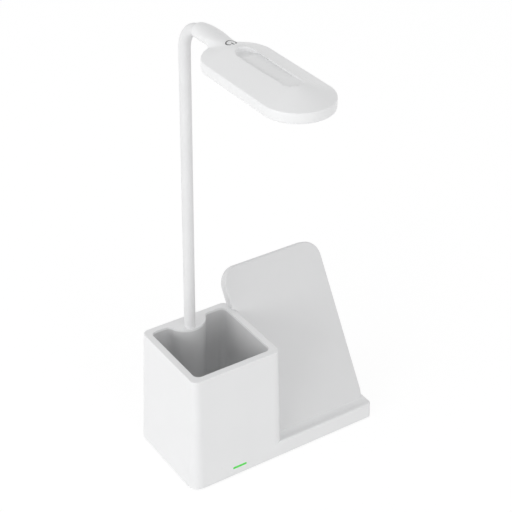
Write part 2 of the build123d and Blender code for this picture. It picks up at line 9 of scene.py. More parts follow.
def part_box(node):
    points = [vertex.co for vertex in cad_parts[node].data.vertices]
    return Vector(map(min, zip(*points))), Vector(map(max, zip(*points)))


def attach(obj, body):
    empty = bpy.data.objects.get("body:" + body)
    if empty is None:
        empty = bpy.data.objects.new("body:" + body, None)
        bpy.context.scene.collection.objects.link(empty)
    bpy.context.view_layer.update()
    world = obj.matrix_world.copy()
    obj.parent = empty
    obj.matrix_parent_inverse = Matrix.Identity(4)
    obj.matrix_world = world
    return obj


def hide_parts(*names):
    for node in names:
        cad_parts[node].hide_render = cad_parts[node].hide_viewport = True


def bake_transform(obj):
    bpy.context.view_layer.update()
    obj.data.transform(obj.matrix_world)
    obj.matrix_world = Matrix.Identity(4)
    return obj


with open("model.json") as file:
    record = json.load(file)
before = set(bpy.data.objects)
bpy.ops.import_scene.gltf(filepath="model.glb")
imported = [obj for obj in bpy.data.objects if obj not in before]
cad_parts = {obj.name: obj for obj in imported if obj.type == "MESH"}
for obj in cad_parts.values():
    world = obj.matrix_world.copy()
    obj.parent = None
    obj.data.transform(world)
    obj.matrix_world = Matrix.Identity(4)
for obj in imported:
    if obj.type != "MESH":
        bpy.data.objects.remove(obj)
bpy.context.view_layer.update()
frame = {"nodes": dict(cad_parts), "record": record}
nodes = frame["nodes"]
mm = 0.001
print("frame loaded:", len(nodes), "nodes")

# Camera, at the photograph's angle
cameraSettings = {
    "place": (-0.48843, -0.72557, 0.729),
    "target": (-0.05115, -0.04235, 0.2231),
    "lens": 97.5,
    "sensor": 36,
    "shift": (0.0473, -0.0459),
    "clipStart": 0.01,
}


def lookFrom(place, target):
    place = Vector(place)
    turn = (Vector(target) - place).to_track_quat("-Z", "Y")
    return Matrix.Translation(place) @ turn.to_matrix().to_4x4()


def makeCamera(settings):
    data = bpy.data.cameras.new("photoCamera")
    data.lens = settings["lens"]
    data.sensor_width = settings["sensor"]
    data.shift_x, data.shift_y = settings["shift"]
    data.clip_start = settings["clipStart"]
    camera = bpy.data.objects.new("photoCamera", data)
    bpy.context.scene.collection.objects.link(camera)
    camera.matrix_world = lookFrom(settings["place"], settings["target"])
    bpy.context.scene.camera = camera


makeCamera(cameraSettings)
print("camera placed")


class Wire:  # a socket of a finish; an expression on it adds Math nodes
    def __init__(self, finish, socket):
        self.finish, self.socket = finish, socket

    def math(self, operation, first, second, clamp=False):
        return self.finish.math(operation, first, second, clamp)

    def __add__(self, other): return self.math("ADD", self, other)
    def __radd__(self, other): return self.math("ADD", other, self)
    def __sub__(self, other): return self.math("SUBTRACT", self, other)
    def __rsub__(self, other): return self.math("SUBTRACT", other, self)
    def __mul__(self, other): return self.math("MULTIPLY", self, other)
    def __truediv__(self, other): return self.math("DIVIDE", self, other)
    def most(self, other): return self.math("MAXIMUM", self, other)
    def clamped(self): return self.math("ADD", self, 0.0, clamp=True)


class Finish:  # the nodes of one material, or of the world
    def __init__(self, owner):
        self.owner = owner
        owner.use_nodes = True
        self.tree = owner.node_tree
        self.tree.nodes.clear()
        self.place = None

    def node(self, kind, settings=None, sockets=None, output=0):
        made = self.tree.nodes.new(kind)
        for key, value in (settings or {}).items():
            setattr(made, key, value)
        for key, value in (sockets or {}).items():
            if isinstance(value, Wire):
                self.tree.links.new(value.socket, made.inputs[key])
            else:
                made.inputs[key].default_value = value
        return Wire(self, made.outputs[output]) if made.outputs else made

    def math(self, operation, first, second=0.0, clamp=False):
        return self.node("ShaderNodeMath", {"operation": operation, "use_clamp": clamp},
                         {0: first, 1: second})

    def objectPlace(self):
        if self.place is None:
            self.place = self.node("ShaderNodeTexCoord", output="Object")
        return self.place

    def axis(self, letter):  # one object coordinate, in metres
        return self.node("ShaderNodeSeparateXYZ", None, {0: self.objectPlace()},
                         "XYZ".index(letter))

    def noise(self, scale, detail=3.0, stretch=(1, 1, 1)):
        vector = self.node("ShaderNodeMapping", None,
                           {"Vector": self.objectPlace(), "Scale": stretch})
        return self.node("ShaderNodeTexNoise", None,
                         {"Vector": vector, "Scale": scale, "Detail": detail})

    def specks(self, scale, size, full=0.6):  # round marks, 1 within the full share of their size
        cells = self.node("ShaderNodeTexVoronoi", None,
                          {"Vector": self.objectPlace(), "Scale": scale})
        return 1 - self.step(cells, size * full, size)

    def step(self, value, low, high):  # 0 below low, 1 above high, smooth between
        return self.node("ShaderNodeMapRange", {"interpolation_type": "SMOOTHSTEP"}, {
            "Value": value, "From Min": low, "From Max": high, "To Min": 0.0, "To Max": 1.0})

    def band(self, value, low, high, soft):
        return self.step(value, low - soft, low) * (1 - self.step(value, high, high + soft))

    def mixColour(self, factor, first, second):
        return self.node("ShaderNodeMix", {"data_type": "RGBA", "clamp_factor": True},
                         {0: factor, 6: first, 7: second}, output=2)

    def shadeColour(self, factor, colour, share):  # from the colour to a share of it
        return self.mixColour(factor, rgba(colour), rgba(colour, share))

    def bump(self, height, strength, distance):
        return self.node("ShaderNodeBump", None,
                         {"Height": height, "Strength": strength, "Distance": distance})

    def seenDirectly(self):  # 1 for the rays that meet the white background
        rays = [self.node("ShaderNodeLightPath", output=f"Is {kind} Ray")
                for kind in ("Camera", "Glossy", "Transmission")]
        return rays[0].most(rays[1]).most(rays[2])

    def close(self, body, kind="ShaderNodeOutputMaterial"):
        self.node(kind, None, {"Surface": body})
        return self.owner

    def principled(self, sockets):
        return self.close(self.node("ShaderNodeBsdfPrincipled", None, sockets))


def rgba(colour, share=1.0):
    return (*(value * share for value in colour), 1.0)


white = (1.0, 1.0, 1.0)
mottleRange = (0.3, 0.75)          # of a broad noise, from one shade to the other
grainDepth = 0.1 * mm              # bump distance of the fine grains

# Satin mouldings: spark-eroded grain and gloss that wanders a little. The housing has painted shade
# inside its cup that fades on the way down, with darker scuffs low down; it is rubbed bright along
# the rim and scratched on the deck.
mouldings = {
    "housing": {
        "colour": (0.86, 0.863, 0.868), "cloud": 0.985, "roughness": 0.40,
        "grainScale": 3600.0, "grain": 0.12,
        # share of the colour inside the cup: painted shade, and the colour of the scuff marks
        "pocketPaintedShadeAndScuffs": 0.77,
        "paintedShadeFade": 1.3,             # how fast the painted shade fades on the way down
        "pocketTop": 99.5 * mm, "pocketFloor": 14.0 * mm, "pocketLip": 1.5 * mm,
        "pocketMiddle": (-43.45 * mm, 0.0),
        "pocketCore": (29.7 * mm, 30.3 * mm),      # half sizes of the box that is rounded out
        "pocketRound": 6.0 * mm,
        "soft": 0.3 * mm,
        "scuffs": {"scale": 260.0, "stretch": (1, 1, 0.12), "range": (0.56, 0.70), "share": 0.25},
        "rim": {"height": 98.9 * mm, "reach": 0.8 * mm, "gloss": 0.10},
        "deckHeight": (12.0 * mm, 14.2 * mm),
        "scratches": {"scale": 420.0, "stretch": (0.15, 1, 1), "range": (0.60, 0.66),
                      "gloss": 0.12},
    },
    "panel": {"colour": (0.755, 0.757, 0.762), "cloud": 0.985, "roughness": 0.50,
              "grainScale": 3000.0, "grain": 0.16},
}
mouldingNoise = {
    "cloud": 22.0, "flow": 90.0, "flowStretch": (1, 1, 0.3),
    "gloss": 0.10,                 # how far roughness wanders
    "grainShare": 0.85,            # of the bump; the flow marks take the rest
}


def makeMoulding(name, settings):
    finish = Finish(bpy.data.materials.new(name))
    cloud = finish.noise(mouldingNoise["cloud"], 4.0)
    grain = finish.noise(settings["grainScale"], 2.0)
    flow = finish.noise(mouldingNoise["flow"], 3.0, mouldingNoise["flowStretch"])
    colour = finish.shadeColour(finish.step(cloud, *mottleRange), settings["colour"],
                                settings["cloud"])
    gloss = mouldingNoise["gloss"]
    roughness = settings["roughness"] + (cloud - 0.5) * gloss + (grain - 0.5) * gloss
    if "pocketPaintedShadeAndScuffs" in settings:
        x, y, z = (finish.axis(letter) for letter in "XYZ")
        across, along = (
            (finish.math("ABSOLUTE", place - middle) - core).most(0.0) for place, middle, core
            in zip((x, y), settings["pocketMiddle"], settings["pocketCore"]))
        outward = finish.math("SQRT", across * across + along * along)
        soft, edge, top = settings["soft"], settings["pocketRound"], settings["pocketTop"]
        inside = 1 - finish.step(outward, edge - soft, edge + soft)
        depth = 1 - finish.step(z, settings["pocketFloor"], top)
        marks = settings["scuffs"]
        scuffs = finish.step(finish.noise(marks["scale"], 4.0, marks["stretch"]), *marks["range"])
        scuffs = scuffs * depth * marks["share"]
        pocket = inside * (1 - finish.step(z, top - settings["pocketLip"], top))
        # painted shade: full just under the rim, fading out on the way down, where only the scuffs
        # darken the colour
        paintedShadeAndScuffMask = (1 - depth * settings["paintedShadeFade"]).clamped() + scuffs
        colour = finish.mixColour(pocket * paintedShadeAndScuffMask, colour,
                                  rgba(settings["colour"], settings["pocketPaintedShadeAndScuffs"]))
        edge = settings["rim"]
        rim = finish.step(z, edge["height"], edge["height"] + edge["reach"])
        deck = finish.band(z, *settings["deckHeight"], soft) * (1 - inside)
        marks = settings["scratches"]
        scratches = finish.step(finish.noise(marks["scale"], 5.0, marks["stretch"]),
                                *marks["range"])
        roughness = roughness - rim * edge["gloss"] - deck * scratches * marks["gloss"]
    share = mouldingNoise["grainShare"]
    return finish.principled({
        "Base Color": colour, "Roughness": roughness.clamped(), "IOR": 1.5,
        "Normal": finish.bump(grain * share + flow * (1 - share), settings["grain"], grainDepth)})


# Plain finishes: a fine grain, drawn out for turned or drawn metal, and broad faint clouds
plainNoise = {"broad": 60.0, "fineGloss": 0.12, "broadGloss": 0.08}


def makePlain(name, colour, roughness, metallic=0.0, grainScale=2500.0, grain=0.1,
              stretch=(1, 1, 1), cloud=0.9):
    finish = Finish(bpy.data.materials.new(name))
    fine = finish.noise(grainScale, 3.0, stretch=stretch)
    broad = finish.noise(plainNoise["broad"], 3.0)
    gloss = (fine - 0.5) * plainNoise["fineGloss"] + (broad - 0.5) * plainNoise["broadGloss"]
    return finish.principled({
        "Base Color": finish.shadeColour(finish.step(broad, *mottleRange), colour, cloud),
        "Roughness": (roughness + gloss).clamped(),
        "Metallic": metallic, "Normal": finish.bump(fine, grain, grainDepth)})


# Green indicator: a clear bar lit from behind, a little uneven along its length
indicatorSettings = {
    "tint": (0.02, 0.20, 0.02), "glow": (0.05, 0.50, 0.045), "uneven": 0.9,
    "scale": 420.0, "range": (0.3, 0.8), "roughness": 0.3, "gloss": 0.08,
}


def makeIndicator(settings):
    finish = Finish(bpy.data.materials.new("greenLight"))
    along = finish.step(finish.noise(settings["scale"], 2.0), *settings["range"])
    return finish.principled({
        "Base Color": finish.shadeColour(along, settings["tint"], settings["uneven"]),
        "Emission Color": finish.shadeColour(along, settings["glow"], settings["uneven"]),
        "Emission Strength": 1.0,
        "Roughness": settings["roughness"] + along * settings["gloss"]})


# Bonded coil: enamelled wire in a flat spiral on the leaning plate, with painted shade in the
# grooves between the turns
coilSettings = {
    "centre": (40.73 * mm, 4.684 * mm, 71.467 * mm), "lean": 58.0, "pitch": 0.9 * mm,
    "wire": (0.72, 0.33, 0.16), "grooveShade": (0.25, 0.10, 0.05),
    "grooveShadeEdge": 0.55,            # share of a turn's crown where the wire's own colour is full; nearer the grooves it turns to painted shade
    "fine": 1800.0, "roughness": 0.34, "gloss": 0.12, "metallic": 0.85,
    "relief": 0.8, "reliefDepth": 0.3 * mm,
}


def makeCopper(settings):
    finish = Finish(bpy.data.materials.new("copperWinding"))
    moved = finish.node("ShaderNodeMapping", {"vector_type": "TEXTURE"}, {
        "Vector": finish.objectPlace(), "Location": settings["centre"],
        "Rotation": (math.radians(settings["lean"]), 0.0, 0.0)})
    flat = finish.node("ShaderNodeVectorMath", {"operation": "MULTIPLY"}, {0: moved, 1: (1, 1, 0)})
    radius = finish.node("ShaderNodeVectorMath", {"operation": "LENGTH"}, {0: flat},
                         output="Value")
    turn = finish.math("FRACT", radius / settings["pitch"])
    crown = turn * (1 - turn) * 4
    fine = finish.noise(settings["fine"])
    return finish.principled({
        # painted shade: each turn darkens towards the grooves on either side
        "Base Color": finish.mixColour(finish.step(crown, 0.0, settings["grooveShadeEdge"]),
                                       rgba(settings["grooveShade"]), rgba(settings["wire"])),
        "Roughness": settings["roughness"] + (fine - 0.5) * settings["gloss"],
        "Metallic": settings["metallic"],
        "Normal": finish.bump(crown, settings["relief"], settings["reliefDepth"])})


# Boards: solder mask with fine tracks under it, and gold pads
boardSettings = {
    "mask": (0.02, 0.17, 0.07), "track": (0.035, 0.25, 0.10), "pad": (0.80, 0.60, 0.25),
    "trackScale": 420.0, "trackEdge": (0.05, 0.09),
    "padScale": 260.0, "padSize": 0.22, "padMetal": 0.9,
    "weaveScale": 1600.0, "weaveShare": 0.3,
    "roughness": 0.32, "gloss": 0.2, "relief": 0.25,
}


def makeBoard(settings):
    finish = Finish(bpy.data.materials.new("solderMask"))
    weave = finish.noise(settings["weaveScale"], 2.0)
    cells = finish.node("ShaderNodeTexVoronoi",
                        {"feature": "DISTANCE_TO_EDGE", "distance": "MANHATTAN"},
                        {"Vector": finish.objectPlace(), "Scale": settings["trackScale"]})
    tracks = 1 - finish.step(cells, *settings["trackEdge"])
    pads = finish.specks(settings["padScale"], settings["padSize"])
    colour = finish.mixColour(tracks, rgba(settings["mask"]), rgba(settings["track"]))
    height = tracks + weave * settings["weaveShare"]
    return finish.principled({
        "Base Color": finish.mixColour(pads, colour, rgba(settings["pad"])),
        "Metallic": pads * settings["padMetal"],
        "Roughness": (settings["roughness"] + (weave - 0.5) * settings["gloss"]).clamped(),
        "Normal": finish.bump(height, settings["relief"], grainDepth)})


# Cellular rubber of the anti-slip pad, with painted shade in its pores
rubberSettings = {
    "face": (0.115, 0.115, 0.12), "poreShade": (0.05, 0.05, 0.052), "dust": (0.24, 0.235, 0.23),
    "poreScale": 1500.0, "poreSize": 0.42, "relief": 0.6, "reliefDepth": 0.2 * mm,
    "dustScale": 70.0, "dustRange": (0.52, 0.72), "dustShare": 0.35, "dustGloss": 0.3,
    "roughness": 0.82,
}


def makeRubber(settings):
    finish = Finish(bpy.data.materials.new("cellularRubber"))
    pores = finish.specks(settings["poreScale"], settings["poreSize"])
    dust = finish.step(finish.noise(settings["dustScale"], 5.0), *settings["dustRange"])
    dust = dust * settings["dustShare"]
    # painted shade: the pores are darker than the face
    colour = finish.mixColour(pores, rgba(settings["face"]), rgba(settings["poreShade"]))
    return finish.principled({
        "Base Color": finish.mixColour(dust, colour, rgba(settings["dust"])),
        "Roughness": (settings["roughness"] + dust * settings["dustGloss"]).clamped(),
        "Normal": finish.bump(1 - pores, settings["relief"], settings["reliefDepth"])})


# Opal diffuser with a fine prismatic pattern moulded into its face
diffuserSettings = {
    "colour": (0.88, 0.88, 0.875), "cloud": 0.97, "pitch": 1.1 * mm,
    "haze": 30.0, "hazeRange": (0.3, 0.8), "hazeGloss": 0.06,
    "roughness": 0.34, "prismGloss": 0.1, "relief": 0.35, "reliefDepth": 0.2 * mm,
}


def makeDiffuser(settings):
    finish = Finish(bpy.data.materials.new("opalDiffuser"))
    waves = [finish.math("SINE", finish.axis(letter) * (math.tau / settings["pitch"]))
             for letter in "XY"]
    prisms = waves[0] * waves[1] * 0.5 + 0.5
    haze = finish.noise(settings["haze"], 3.0)
    gloss = prisms * settings["prismGloss"] + (haze - 0.5) * settings["hazeGloss"]
    return finish.principled({
        "Base Color": finish.shadeColour(finish.step(haze, *settings["hazeRange"]),
                                         settings["colour"], settings["cloud"]),
        "Roughness": (settings["roughness"] + gloss).clamped(),
        "Normal": finish.bump(prisms, settings["relief"], settings["reliefDepth"])})


finishes = {
    "housing_plastic": makeMoulding("satinHousing", mouldings["housing"]),
    "panel_plastic": makeMoulding("satinPanel", mouldings["panel"]),
    "silicone": makePlain("whiteSilicone", (0.80, 0.802, 0.807), 0.52, grainScale=2200.0,
                          grain=0.12, cloud=0.975),
    "spring_steel": makePlain("springSteel", (0.55, 0.55, 0.56), 0.3, 1.0, stretch=(0.2, 0.2, 1)),
    "plated_steel": makePlain("zincPlate", (0.62, 0.62, 0.64), 0.34, 1.0, grainScale=1400.0),
    "nut_brass": makePlain("turnedBrass", (0.75, 0.6, 0.33), 0.3, 1.0, stretch=(0.2, 0.2, 1)),
    "crimp_aluminium": makePlain("turnedAluminium", (0.75, 0.75, 0.77), 0.35, 1.0,
                                 stretch=(1, 0.2, 1)),
    "pad_rubber": makeRubber(rubberSettings),
    "board_green": makeBoard(boardSettings),
    "socket_steel": makePlain("drawnSteel", (0.7, 0.7, 0.72), 0.26, 1.0, stretch=(1, 0.15, 1)),
    "green_light": makeIndicator(indicatorSettings),
    "copper": makeCopper(coilSettings),
    "ferrite": makePlain("ferrite", (0.07, 0.07, 0.075), 0.6, grainScale=1200.0, grain=0.2),
    "diffuser_white": makeDiffuser(diffuserSettings),
    "chip_phosphor": makePlain("chipPhosphor", (0.85, 0.68, 0.16), 0.4, grainScale=4000.0),
}
for part in frame["record"]["subparts"]:
    mesh = nodes[part["node"]].data
    mesh.materials.clear()
    mesh.materials.append(finishes[part["material_slot"]])
print("finishes assigned")


# Mesh tools
mergeDistance = 0.002 * mm
cutDistance = 1e-7


def addPiece(name, form, material, sharpAngle=35.0):
    for face in form.faces:
        face.smooth = True
    for edge in form.edges:
        edge.smooth = edge.is_manifold and edge.calc_face_angle(0.0) < math.radians(sharpAngle)
    mesh = bpy.data.meshes.new(name)
    form.to_mesh(mesh)
    form.free()
    mesh.materials.append(material)
    piece = bpy.data.objects.new(name, mesh)
    bpy.context.scene.collection.objects.link(piece)
    return piece


def copyNode(name):  # a node's mesh as one closed form
    form = bmesh.new()
    form.from_mesh(nodes[name].data)
    bmesh.ops.remove_doubles(form, verts=form.verts, dist=mergeDistance)
    return form


def cutForm(form, place, normal, clearOuter=False):  # gives the edges that lie in the cut
    cut = bmesh.ops.bisect_plane(form, geom=form.verts[:] + form.edges[:] + form.faces[:],
                                 dist=cutDistance, plane_co=place, plane_no=normal,
                                 clear_outer=clearOuter)
    return [item for item in cut["geom_cut"] if isinstance(item, bmesh.types.BMEdge)]


def raiseFaces(form, faces, height):  # gives the corners of the raised faces
    raised = bmesh.ops.extrude_face_region(form, geom=faces, use_keep_orig=True)
    upper = [item for item in raised["geom"] if isinstance(item, bmesh.types.BMVert)]
    bmesh.ops.translate(form, verts=upper, vec=(0, 0, height))
    return upper


def relax(form, corners):
    bmesh.ops.smooth_vert(form, verts=corners, factor=0.5,
                          use_axis_x=True, use_axis_y=True, use_axis_z=True)


def roundEdges(form, edges, offset, segments):
    bmesh.ops.bevel(form, geom=edges, offset=offset, affect="EDGES", segments=segments,
                    profile=0.5, material=-1)


def fade(value, low, high):  # 1 below low, 0 above high, smooth between
    share = min(max((value - low) / (high - low), 0.0), 1.0)
    return 1 - share * share * (3 - 2 * share)


# Gooseneck: each stretch that bends is one tube, running across its joint
neckSettings = {
    "bendRadius": 20.5 * mm,
    "bendTurn": 73.0,
    "bendFoot": 333.8 * mm,        # height where the top bend starts to turn
    "bendSteps": 24,
    "neckSweep": 60.0 * mm,        # radius of the line on into the neck
    "mouthTurn": 78.6,             # where the neck's mouth takes the sleeve
    "mouthSteps": 4,
    "step": 1.5 * mm,              # between the rings of a straight stretch
    "sides": 48,
    "sharpAngle": 50.0,
    "layers": {                    # outer and inner radius, and the slot
        "sleeve": (4.33 * mm, 3.33 * mm, "silicone"),
        "core": (3.3 * mm, 1.6 * mm, "spring_steel"),
    },
    "bends": {"low_bend": ("base", "lower_post"), "high_bend": ("lower_post", "upper_post"),
              "top_bend": ("crown_post", "head")},
}
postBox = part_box("sleeve_lower")
postX, postY = ((postBox[0][axis] + postBox[1][axis]) / 2 for axis in (0, 1))


def tubeAlong(stations, outer, inner, sides):  # stations: the matrices of the tube's rings
    form = bmesh.new()
    ends = []
    for radius in (outer, inner):
        loops = []
        for station in stations:
            made = bmesh.ops.create_circle(form, segments=sides, radius=radius, matrix=station)
            loop = dict.fromkeys(edge for vertex in made["verts"] for edge in vertex.link_edges)
            loops.append(list(loop))
        for first, second in zip(loops, loops[1:]):
            bmesh.ops.bridge_loops(form, edges=first + second)
        ends.append((loops[0], loops[-1]))
    for outside, inside in zip(*ends):
        bmesh.ops.bridge_loops(form, edges=outside + inside)
    bmesh.ops.recalc_face_normals(form, faces=form.faces)
    return form


def straightStations(low, high):
    count = round((high - low) / neckSettings["step"])
    return [Matrix.Translation((postX, postY, low + (high - low) * i / count))
            for i in range(count + 1)]


def arcStations(centre, radius, start, end, count):
    turns = [math.radians(start + (end - start) * i / count) for i in range(1, count + 1)]
    return [Matrix.Translation((postX, *centre)) @ Matrix.Rotation(turn, 4, "X")
            @ Matrix.Translation((0, radius, 0)) for turn in turns]


def outwardAt(degrees):  # from a bend's centre, in the plane of y and z
    return Vector((math.cos(math.radians(degrees)), math.sin(math.radians(degrees))))


bendCentre = Vector((postY - neckSettings["bendRadius"], neckSettings["bendFoot"]))
bendOut = outwardAt(neckSettings["bendTurn"])
neckCentre = bendCentre + bendOut * (neckSettings["bendRadius"] - neckSettings["neckSweep"])


for place, bodies in neckSettings["bends"].items():
    lowEnd, highEnd = (corner[2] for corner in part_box(f"sleeve_{place}"))
    onward = []
    if place == "top_bend":
        stations = straightStations(lowEnd, neckSettings["bendFoot"])
        stations += arcStations(bendCentre, neckSettings["bendRadius"], 0,
                                neckSettings["bendTurn"], neckSettings["bendSteps"])
        onward = arcStations(neckCentre, neckSettings["neckSweep"], neckSettings["bendTurn"],
                             neckSettings["mouthTurn"], neckSettings["mouthSteps"])
    else:
        stations = straightStations(lowEnd, highEnd)
    for layer, (outer, inner, slot) in neckSettings["layers"].items():
        line = stations + onward if layer == "sleeve" else stations
        form = tubeAlong(line, outer, inner, neckSettings["sides"])
        hose = addPiece(f"{layer}_{place}_hose", form, finishes[slot], neckSettings["sharpAngle"])
        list(bodies)
        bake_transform(hose)
        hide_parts(f"{layer}_{place}")
print("gooseneck made")

# Phone plate: above the cup's rim its left edge stands a little wider than beside the cup
plateSettings = {
    "foot": (-1.95 * mm, -31.35 * mm, 13.8 * mm),      # the plain left edge's foot, on the face
    "lean": 58.0,
    "length": 136.6 * mm,
    "flare": 0.02887,              # slant of the plain edge to the left, over the way up the slope
    "corner": 14.5 * mm,
    "earFoot": 100.9 * mm,         # height where the plate widens, just above the rim
    "earStep": 1.6 * mm,
    "earEdge": -7.7 * mm,          # where the wider edge lies
    "band": 1.6 * mm,              # how far in from the outline its own points lie
    "cornerReach": 0.05 * mm,      # past the corner's centre line
}


def widenPlate(settings):
    form = copyNode("plate_front")
    for height in (settings["earFoot"], settings["earFoot"] + settings["earStep"]):
        cutForm(form, (0, 0, height), (0, 0, 1))
    foot = Vector(settings["foot"])
    slope = Vector((0, *outwardAt(settings["lean"])))
    corner = settings["corner"]
    cornerUp = settings["length"] - corner
    cornerX = foot.x - cornerUp * settings["flare"] + corner
    low = settings["earFoot"] + settings["earStep"] / 2
    for vertex in form.verts:
        x = vertex.co.x
        if vertex.co.z < low or x > cornerX + settings["cornerReach"]:
            continue
        up = (vertex.co - foot).dot(slope)
        plain = foot.x - min(up, cornerUp) * settings["flare"]
        inward = x - plain if up < cornerUp else corner - math.hypot(cornerX - x, up - cornerUp)
        if inward < settings["band"]:
            vertex.co.x += settings["earEdge"] - plain
    return form


def faceWeighted(piece):  # broad flat faces keep their own shading beside the small radii
    piece.modifiers.new("faceWeighted", "WEIGHTED_NORMAL").keep_sharp = True


plate = addPiece("phonePlate", widenPlate(plateSettings), finishes["panel_plastic"])
faceWeighted(plate)
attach(plate, "base")
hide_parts("plate_front")
print("phone plate made")

# Lamp head's cover: one skin whose neck spreads into the dome, with a soft ridge along the dome
headSettings = {
    "voxel": 0.6 * mm,
    "half": 24.8 * mm,
    "shoulder": 353.8 * mm, "rise": 8.0 * mm,
    "spine": (-107.6 * mm, -42.8 * mm),      # ends of the dome's middle line, along y
    "ridge": 0.25,                 # roundness of the ridge, as a share of the half width
    "collar": 1.14,                # how much wider the neck is at its mouth
    "collarReach": (4 * mm, 22 * mm),        # from the mouth: full, then gone
    "spread": 0.34,                # how far the neck's root spreads sideways
    "spreadPlace": -13.0 * mm, "spreadReach": 19.0 * mm,
    "widthReach": (8 * mm, 18 * mm),         # from the middle line, for collar and spread
    "neckTop": 360.5 * mm,         # level of the neck's flat top, where the touch mark lies
    "neckHalf": (6.7 * mm, 4.9 * mm),
    "backReach": 2 * mm,           # how far behind the dome its top still counts
    "blend": 46,                   # passes that smooth the neck's root
    "blendCentre": -20.0 * mm, "blendReach": (9.0 * mm, 19.0 * mm),
    "wall": 1.2 * mm,
    "insideKeep": 12 * mm, "boreKeep": 4.5 * mm,      # round the neck's line, left unsmoothed
    "sharpAngle": 50.0,
}


def evenSkin(form, voxel):
    mesh = bpy.data.meshes.new("skin")
    form.to_mesh(mesh)
    form.free()
    holder = bpy.data.objects.new("skin", mesh)
    bpy.context.scene.collection.objects.link(holder)
    remesh = holder.modifiers.new("remesh", "REMESH")
    remesh.mode = "VOXEL"
    remesh.voxel_size = voxel
    skin = bmesh.new()
    skin.from_object(holder, bpy.context.evaluated_depsgraph_get())
    bpy.data.objects.remove(holder)
    bpy.data.meshes.remove(mesh)
    return skin


def neckLine(y):  # height of the neck's middle line
    ahead = max(y - neckCentre[0], 0.0)
    return neckCentre[1] + math.sqrt(neckSettings["neckSweep"] ** 2 - ahead ** 2)


def domeShare(settings, x, y):  # distance from the middle line, as a share of the half width
    tip, back = settings["spine"]
    return math.hypot(x - postX, y - min(max(y, tip), back)) / settings["half"]


def ridgeHeight(settings, share):
    ridge = settings["ridge"]
    drop = (math.hypot(share, ridge) - ridge) / (math.hypot(1, ridge) - ridge)
    return settings["shoulder"] + settings["rise"] * (1 - drop)


def keepsShape(settings, x, y, z):  # the bore and the cover's inside, which aren't smoothed
    fromLine = math.hypot(x - postX, z - neckLine(y))
    if fromLine < settings["boreKeep"]:
        return True
    share = domeShare(settings, x, y)
    return (share < 1 - settings["wall"] / settings["half"]
            and z < ridgeHeight(settings, share) - settings["wall"]
            and fromLine < settings["insideKeep"])


def makeHead(settings):
    form = copyNode("head_cover")
    turn = math.radians(neckSettings["mouthTurn"])
    mouth = neckCentre + outwardAt(neckSettings["mouthTurn"]) * neckSettings["neckSweep"]
    rim = cutForm(form, (postX, *mouth), (0, math.sin(turn), -math.cos(turn)), True)
    bmesh.ops.bridge_loops(form, edges=rim)
    bmesh.ops.recalc_face_normals(form, faces=form.faces)
    skin = evenSkin(form, settings["voxel"])
    relax(skin, skin.verts)
    back = settings["spine"][1] + settings["half"]
    wide, thick = settings["neckHalf"]
    for vertex in skin.verts:
        x, y, z = vertex.co
        across = x - postX
        collar = 1 + (settings["collar"] - 1) * fade(mouth[0] - y, *settings["collarReach"])
        spread = 1 + settings["spread"] * fade(abs(y - settings["spreadPlace"]), 0,
                                               settings["spreadReach"])
        if y > back:
            z = neckLine(y) + (z - neckLine(y)) * collar
        reach = fade(abs(across), *settings["widthReach"])
        across *= 1 + (collar * spread - 1) * reach
        # the dome comes down to its ridge form; the neck stands over it
        top = ridgeHeight(settings, domeShare(settings, postX + across, y))
        half = wide * collar * spread
        if y > settings["spine"][1] and abs(across) < half:
            over = neckLine(y) + thick * collar * math.sqrt(1 - (across / half) ** 2)
            top = max(top, min(over, settings["neckTop"]))
        if y < back + settings["backReach"]:
            z = min(z, top)
        vertex.co = (postX + across, y, z)
    # the neck's root flows into the dome and the skirt
    near, far = settings["blendReach"]
    for step in range(settings["blend"]):
        radius = near + (far - near) * (1 - step / settings["blend"])
        relax(skin, [vertex for vertex in skin.verts
                     if abs(vertex.co.y - settings["blendCentre"]) <= radius
                     and abs(vertex.co.x - postX) <= radius
                     and not keepsShape(settings, *vertex.co)])
    return skin


head = addPiece("lampHead", makeHead(headSettings), finishes["housing_plastic"],
                headSettings["sharpAngle"])
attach(head, "head")
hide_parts("head_cover")
print("lamp head made:", len(head.data.polygons), "faces")

# Indicator's cap: the glowing bar that stands in the cup's front wall, over its lens
capSettings = {
    "half": 0.98 * mm, "length": 12.4 * mm, "deep": 0.6 * mm, "proud": 0.12 * mm,
    "edge": 0.15 * mm, "edgeSegments": 3,
    "place": (-43.45 * mm, -42.35 * mm, 7.7 * mm),     # y: of the front wall's foot
    "draft": 1.95,                 # lean of the cup's front wall, in degrees
    "sides": 64, "sharpAngle": 40.0,
}


def roundedBar(half, length, sides):  # a flat form with round ends, its length along y
    form = bmesh.new()
    made = bmesh.ops.create_circle(form, cap_ends=True, segments=sides, radius=half)
    for vertex in made["verts"]:
        vertex.co.y += math.copysign(length / 2 - half, vertex.co.y)
    return form


def makeCap(settings):
    form = roundedBar(settings["half"], settings["length"], settings["sides"])
    upper = raiseFaces(form, form.faces[:], settings["deep"])
    bmesh.ops.recalc_face_normals(form, faces=form.faces)
    rim = [edge for edge in form.edges if edge.verts[0] in upper and edge.verts[1] in upper]
    roundEdges(form, rim, settings["edge"], settings["edgeSegments"])
    x, y, z = settings["place"]
    draft = math.radians(settings["draft"])
    front = y + (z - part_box("base_housing")[0][2]) * math.tan(draft)
    bmesh.ops.transform(form, verts=form.verts, matrix=(
        Matrix.Translation((x, front, z)) @ Matrix.Rotation(math.radians(90) - draft, 4, "X")
        @ Matrix.Translation((0, 0, settings["proud"] - settings["deep"]))
        @ Matrix.Rotation(math.radians(90), 4, "Z")))
    return form


cap = addPiece("indicatorCap", makeCap(capSettings), finishes["green_light"],
               capSettings["sharpAngle"])
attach(cap, "base")
print("indicator cap made")

